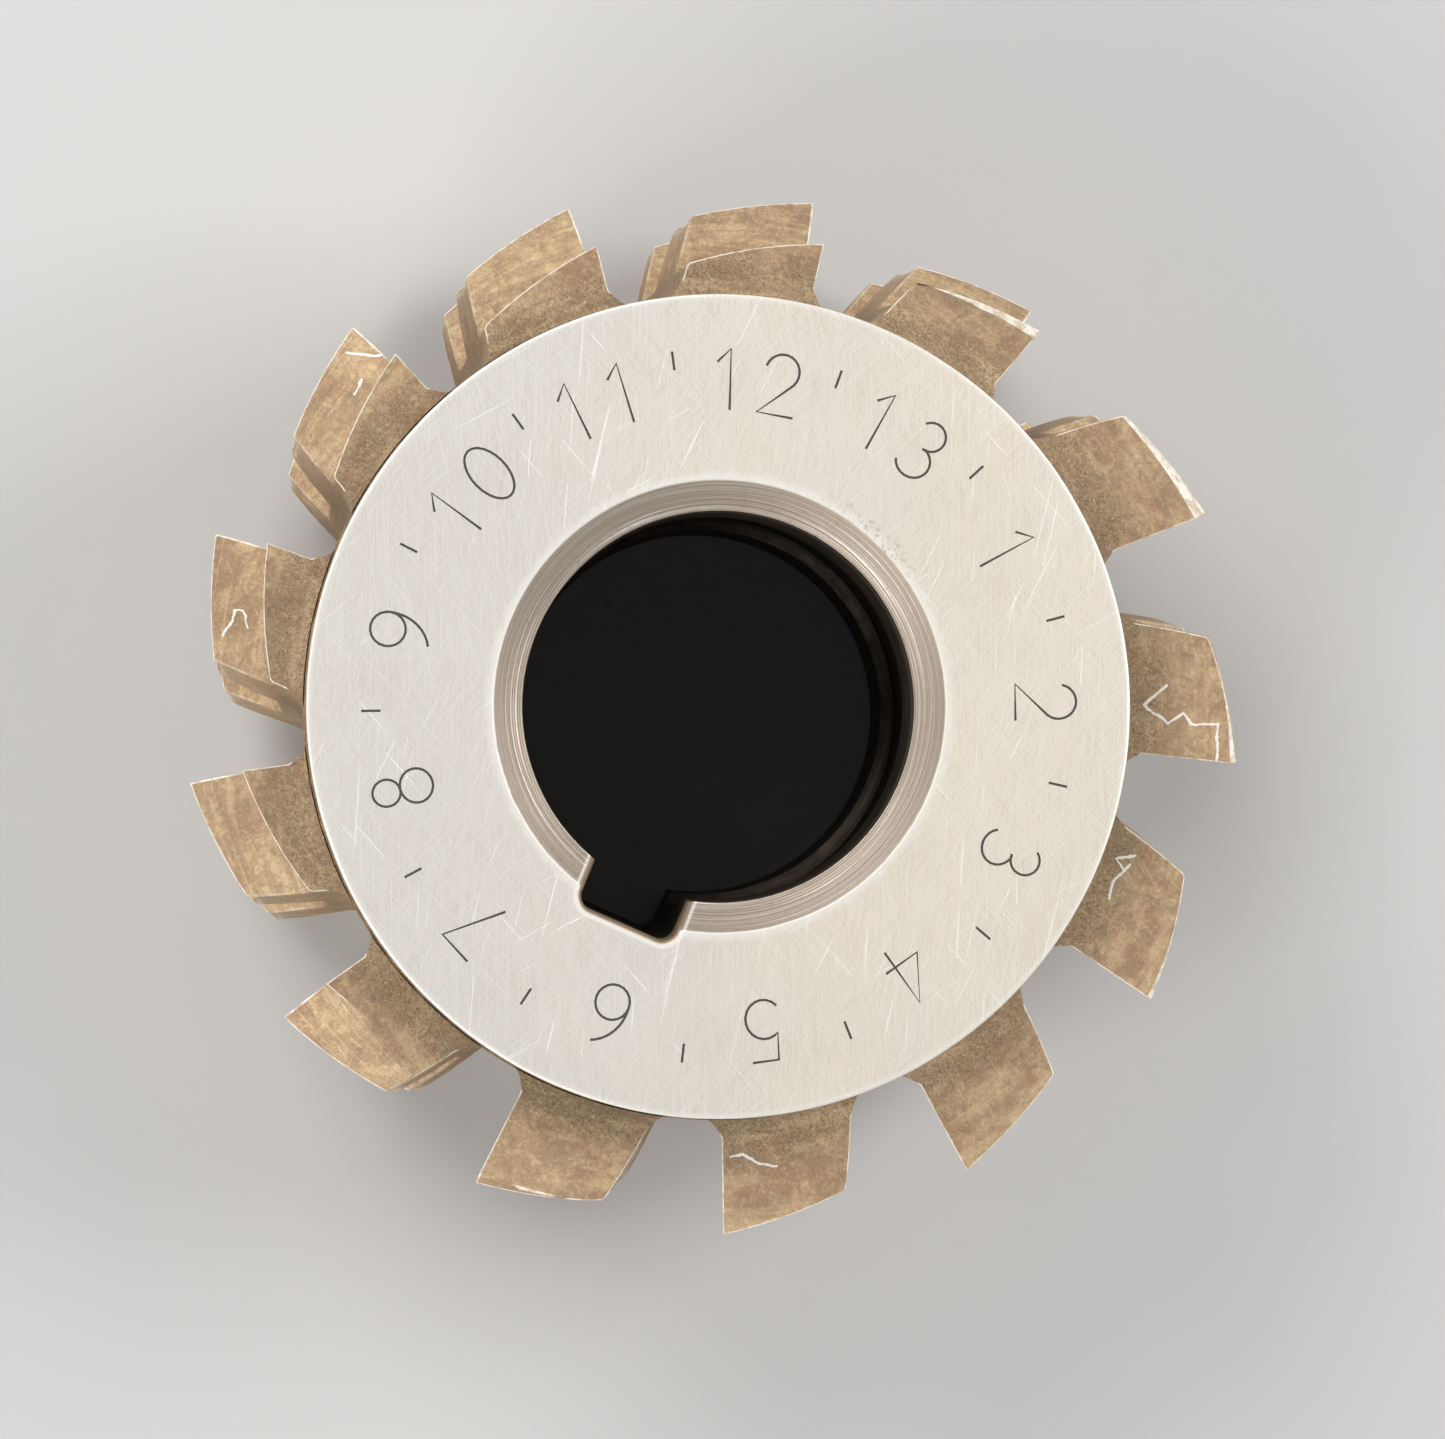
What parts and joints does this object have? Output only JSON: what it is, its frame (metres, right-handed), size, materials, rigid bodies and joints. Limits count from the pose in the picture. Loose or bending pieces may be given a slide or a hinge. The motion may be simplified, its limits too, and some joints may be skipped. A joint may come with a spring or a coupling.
{
  "type": "spline hob",
  "caption": "Keyed-bore hob with rows of relieved helical teeth between two plain ground hubs, for cutting splined shafts on an arbor.",
  "frame": {"origin": "on the tool's axis at the rear hub face, which it stands on", "axes": "+Z along the axis towards the front hub face; the keyway is centred on -Y"},
  "size_m": [0.0735, 0.073, 0.04],
  "materials": {
    "hub_steel": "bright ground steel with fine crossed scratches",
    "bore_steel": "dark tempered steel",
    "tooth_steel": "bronze-brown mottled tempered steel with bright worn edges"
  },
  "bodies": {
    "root": {"hub_front": "hub_steel", "hub_rear": "hub_steel", "core_body": "bore_steel", "tooth_row_01": "tooth_steel", "tooth_row_02": "tooth_steel", "tooth_row_03": "tooth_steel", "tooth_row_04": "tooth_steel", "tooth_row_05": "tooth_steel", "tooth_row_06": "tooth_steel", "tooth_row_07": "tooth_steel", "tooth_row_08": "tooth_steel", "tooth_row_09": "tooth_steel", "tooth_row_10": "tooth_steel", "tooth_row_11": "tooth_steel", "tooth_row_12": "tooth_steel", "tooth_row_13": "tooth_steel"}
  },
  "joints": []
}
